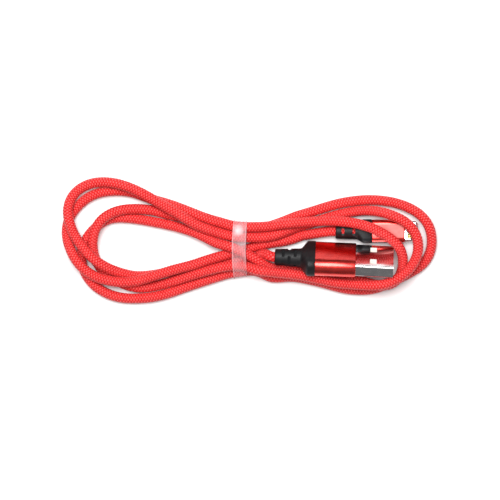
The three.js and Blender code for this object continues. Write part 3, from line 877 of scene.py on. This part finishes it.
# plugs: the boots, sleeves and label that show
plugValues = {
    "usb": {
        "rearRadius": 0.00267,
        "neckRadius": 0.00317,
        "neckLength": 0.0084,
        "flareLength": 0.0028,
        "sleeveCorner": 0.0029,
        "boreCorner": 0.0007,
        "bore": (0.0122, 0.0047),
        "slots": [
            (2.3, -97), (2.3, 18), (2.3, 130), (4.3, -40), (4.3, 74), (4.3, 186),
            (6.3, -97), (6.3, 18), (6.3, 130),
        ],
    },
    "phone": {
        "rearRadius": 0.0026,
        "neckRadius": 0.0028,
        "neckLength": 0.0071,
        "flareLength": 0.0023,
        "sleeveCorner": 0.0016,
        "boreCorner": 0.0009,
        "bore": (0.0067, 0.0040),
        "slots": [(1.9, 0), (1.9, 120), (1.9, 240), (5.5, 0), (5.5, 120), (5.5, 240)],
    },
}
bootValues = {
    "bore": 0.00205,
    "mouthFlare": 0.0002,
    "mouthDepth": 0.0004,
    "rim": 0.0004,
    "rimSteps": 4,
    "slotWidth": 0.0010,
    "slotSpan": 0.0030,
    "slotDepth": 0.00095,
    "slotPast": 0.001,
    "slotCorner": 0.00028,
    "slotCornerSteps": 4,
    "sharpDegrees": 32,
    "collarEdge": 0.00018,
    "edgeShare": 0.3,
    "flareSteps": 16,
    "neckSteps": 10,
}
sleeveValues = {
    "edge": 0.00016,
    "edgeSteps": 4,
    "sharpDegrees": 40.0,
}
labelValues = {
    "fromFront": 0.0004,
    "length": 0.0092,
    "width": 0.0044,
    "thickness": 0.00007,
    "corner": 0.0003,
    "cornerSteps": 4,
    "sunk": 0.00002,
    "finish": {
        "name": "labelPanel",
        "dark": (0.62, 0.12, 0.11),
        "light": (0.80, 0.22, 0.20),
        "rough": (0.5, 0.65),
        "grain": 1400.0,
        "depth": 0.00001,
        "stretch": (0.2, 1, 1),
        "specular": 0.3,
    },
}


def pipePiece(name, plug, outer, inner, material, sharpDegrees=meshValues["sharpDegrees"]):
    # a closed tube through outer sections, and back through inner ones
    rings = [np.column_stack([np.full(len(points), x), points]) for x, points in outer + inner[::-1]]
    points = plug.place(np.array(rings).reshape(-1, 3))
    faces = gridFaces(len(rings), len(outer[0][1]), closedAlong=True)
    return newPiece(name, points, faces, material, sharpDegrees)


def slabPiece(name, plug, outline, low, high, material):
    # a flat outline in the plug's x and y, from height low to high
    count = len(outline)
    layers = [np.column_stack([outline, np.full(count, z)]) for z in (low, high)]
    points = plug.place(np.array(layers).reshape(-1, 3))
    faces = gridFaces(2, count).tolist() + [list(range(count))[::-1], list(range(count, 2 * count))]
    return newPiece(name, points, faces, material)


def slotTool(plug, neckRadius, slots):
    points = []
    faces = []
    outline = roundedSection(
        bootValues["slotWidth"], bootValues["slotSpan"],
        bootValues["slotCorner"], bootValues["slotCornerSteps"],
    )
    count = len(outline)
    for x, degrees in slots:
        turn = math.radians(degrees)
        base = len(points)
        for reach in (neckRadius - bootValues["slotDepth"], neckRadius + bootValues["slotPast"]):
            for along, across in outline:
                y = across * math.cos(turn) - reach * math.sin(turn)
                z = across * math.sin(turn) + reach * math.cos(turn)
                points.append((x * mm + bootValues["slotWidth"] / 2 + along, y, z))
        faces += (gridFaces(2, count) + base).tolist()
        faces += [
            [base + i for i in reversed(range(count))],
            [base + count + i for i in range(count)],
        ]
    return newPiece("slotTool", plug.place(points), faces, slotMaterials["rubber"])


def carve(piece, tool):
    cutter = piece.modifiers.new("cut", "BOOLEAN")
    cutter.operation = "DIFFERENCE"
    cutter.solver = "EXACT"
    cutter.object = tool
    shown = piece.evaluated_get(bpy.context.evaluated_depsgraph_get())
    carved = bpy.data.meshes.new_from_object(shown)
    piece.modifiers.clear()
    carved.polygons.foreach_set("use_smooth", [True] * len(carved.polygons))
    carved.set_sharp_from_angle(angle=math.radians(bootValues["sharpDegrees"]))
    piece.data = carved
    bpy.data.objects.remove(tool)


def bootPiece(name, plug, prefix):
    values = plugValues[prefix]
    high = plug.span(f"{prefix}_boot")[1]
    collar = 2 * high[1:]
    corner = values["sleeveCorner"]
    edge = bootValues["collarEdge"]
    rear = values["rearRadius"]
    neck = values["neckRadius"]
    rim = bootValues["rim"]
    outer = []
    for i in range(bootValues["rimSteps"] + 1):
        turn = i / bootValues["rimSteps"] * math.pi / 2
        outer.append((rim * (1 - math.cos(turn)), roundSection(rear - rim * (1 - math.sin(turn)))))
    for i in range(1, bootValues["neckSteps"] + 1):
        share = i / bootValues["neckSteps"]
        x = rim + (values["neckLength"] - rim) * share
        outer.append((x, roundSection(rear + (neck - rear) * share)))
    full = roundedSection(*collar, corner)
    for i in range(1, bootValues["flareSteps"] + 1):
        share = i / bootValues["flareSteps"]
        rise = share * share * (3 - 2 * share)
        x = values["neckLength"] + values["flareLength"] * share
        outer.append((x, blendSections(roundSection(neck), full, rise)))
    outer.append((high[0] - edge, full))
    step = edge * bootValues["edgeShare"]
    outer.append((high[0] - step, roundedSection(*(collar - 2 * step), corner)))
    outer.append((high[0], roundedSection(*(collar - 2 * edge), corner - edge)))
    bore = roundSection(bootValues["bore"])
    mouth = roundSection(bootValues["bore"] + bootValues["mouthFlare"])
    inner = [(0.0, mouth), (bootValues["mouthDepth"], bore), (high[0], bore)]
    piece = pipePiece(name, plug, outer, inner, slotMaterials["rubber"])
    carve(piece, slotTool(plug, neck, values["slots"]))
    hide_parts(f"{prefix}_boot")
    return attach(piece, "root")


def sleevePiece(name, plug, prefix):
    values = plugValues[prefix]
    low, high = plug.span(f"{prefix}_sleeve")
    size = 2 * high[1:]
    edge = sleeveValues["edge"]
    ends = []
    for i in range(sleeveValues["edgeSteps"] + 1):
        turn = i / sleeveValues["edgeSteps"] * math.pi / 2
        inset = edge * (1 - math.sin(turn))
        section = roundedSection(*(size - 2 * inset), values["sleeveCorner"])
        ends.append((edge * (1 - math.cos(turn)), section))
    outer = [(low[0] + x, points) for x, points in ends]
    outer += [(high[0] - x, points) for x, points in ends[::-1]]
    bore = roundedSection(*values["bore"], values["boreCorner"])
    inner = [(low[0], bore), (high[0], bore)]
    piece = pipePiece(
        name, plug, outer, inner, slotMaterials["anodised"], sleeveValues["sharpDegrees"]
    )
    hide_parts(f"{prefix}_sleeve")
    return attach(piece, "root")


usbBoot = bootPiece("usbBoot", usb, "usb")
bootPiece("phoneBoot", phone, "phone")
usbSleeve = sleevePiece("usbSleeve", usb, "usb")
sleevePiece("phoneSleeve", phone, "phone")
sleeveEnd = phone.span("phone_sleeve")[1]
outline = roundedSection(
    labelValues["length"], labelValues["width"], labelValues["corner"], labelValues["cornerSteps"]
)
outline[:, 0] += sleeveEnd[0] - labelValues["fromFront"] - labelValues["length"] / 2
label = slabPiece(
    "phoneLabel", phone, outline,
    sleeveEnd[2] - labelValues["sunk"], sleeveEnd[2] + labelValues["thickness"],
    plainMaterial(**labelValues["finish"]),
)
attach(label, "root")
print("plugs built")

tuple(insidePoint(phone, 0))

# floor, world and lights
stageValues = {
    "floorSize": 4.0,
    "floorSteps": 9,
    "floorDrop": 0.00005,
    "floorFinish": {
        "name": "floor",
        "dark": (0.84, 0.84, 0.84),
        "light": (0.88, 0.88, 0.88),
        "rough": (0.6, 0.8),
        "grain": 30.0,
        "depth": 0.00001,
    },
    "worldColour": (1.0, 1.0, 1.0),
    "worldStrength": 0.55,
    "horizonStrength": 0.10,
    "horizonTo": 0.1,
    "skyFrom": 0.9,
    "keySize": 0.42,
    "keyPower": 7.5,
    "keyPlace": (-0.06, 0.16, 0.7),
}
half = stageValues["floorSize"] / 2
floorSteps = stageValues["floorSteps"]
ticks = np.linspace(-half, half, floorSteps)
floorPoints = [(x, y, 0.0) for y in ticks for x in ticks]
floorFaces = []
for row in range(floorSteps - 1):
    for column in range(floorSteps - 1):
        corner = row * floorSteps + column
        floorFaces.append((corner, corner + 1, corner + floorSteps + 1, corner + floorSteps))
floorPiece = newPiece("floor", floorPoints, floorFaces, plainMaterial(**stageValues["floorFinish"]))
floorPiece.location.z = -stageValues["floorDrop"]
world = bpy.data.worlds.new("studio")
scene.world = world
world.use_nodes = True
background = world.node_tree.nodes["Background"]
background.inputs[0].default_value = rgba(stageValues["worldColour"])
skyPlace = world.node_tree.nodes.new("ShaderNodeTexCoord")
skySplit = world.node_tree.nodes.new("ShaderNodeSeparateXYZ")
skyRange = world.node_tree.nodes.new("ShaderNodeMapRange")
world.node_tree.links.new(skyPlace.outputs["Generated"], skySplit.inputs[0])
world.node_tree.links.new(skySplit.outputs["Z"], skyRange.inputs["Value"])
world.node_tree.links.new(skyRange.outputs["Result"], background.inputs[1])
skyRange.inputs["From Min"].default_value = stageValues["horizonTo"]
skyRange.inputs["From Max"].default_value = stageValues["skyFrom"]
skyRange.inputs["To Min"].default_value = stageValues["horizonStrength"]
skyRange.inputs["To Max"].default_value = stageValues["worldStrength"]
keyData = bpy.data.lights.new("softbox", "AREA")
keyData.shape = "SQUARE"
keyData.size = stageValues["keySize"]
keyData.energy = stageValues["keyPower"]
key = bpy.data.objects.new("softbox", keyData)
key.location = stageValues["keyPlace"]
key.rotation_mode = "QUATERNION"
key.rotation_quaternion = Vector(stageValues["keyPlace"]).to_track_quat("Z", "Y")
scene.collection.objects.link(key)
scene.view_settings.view_transform = "Standard"
print("stage built")
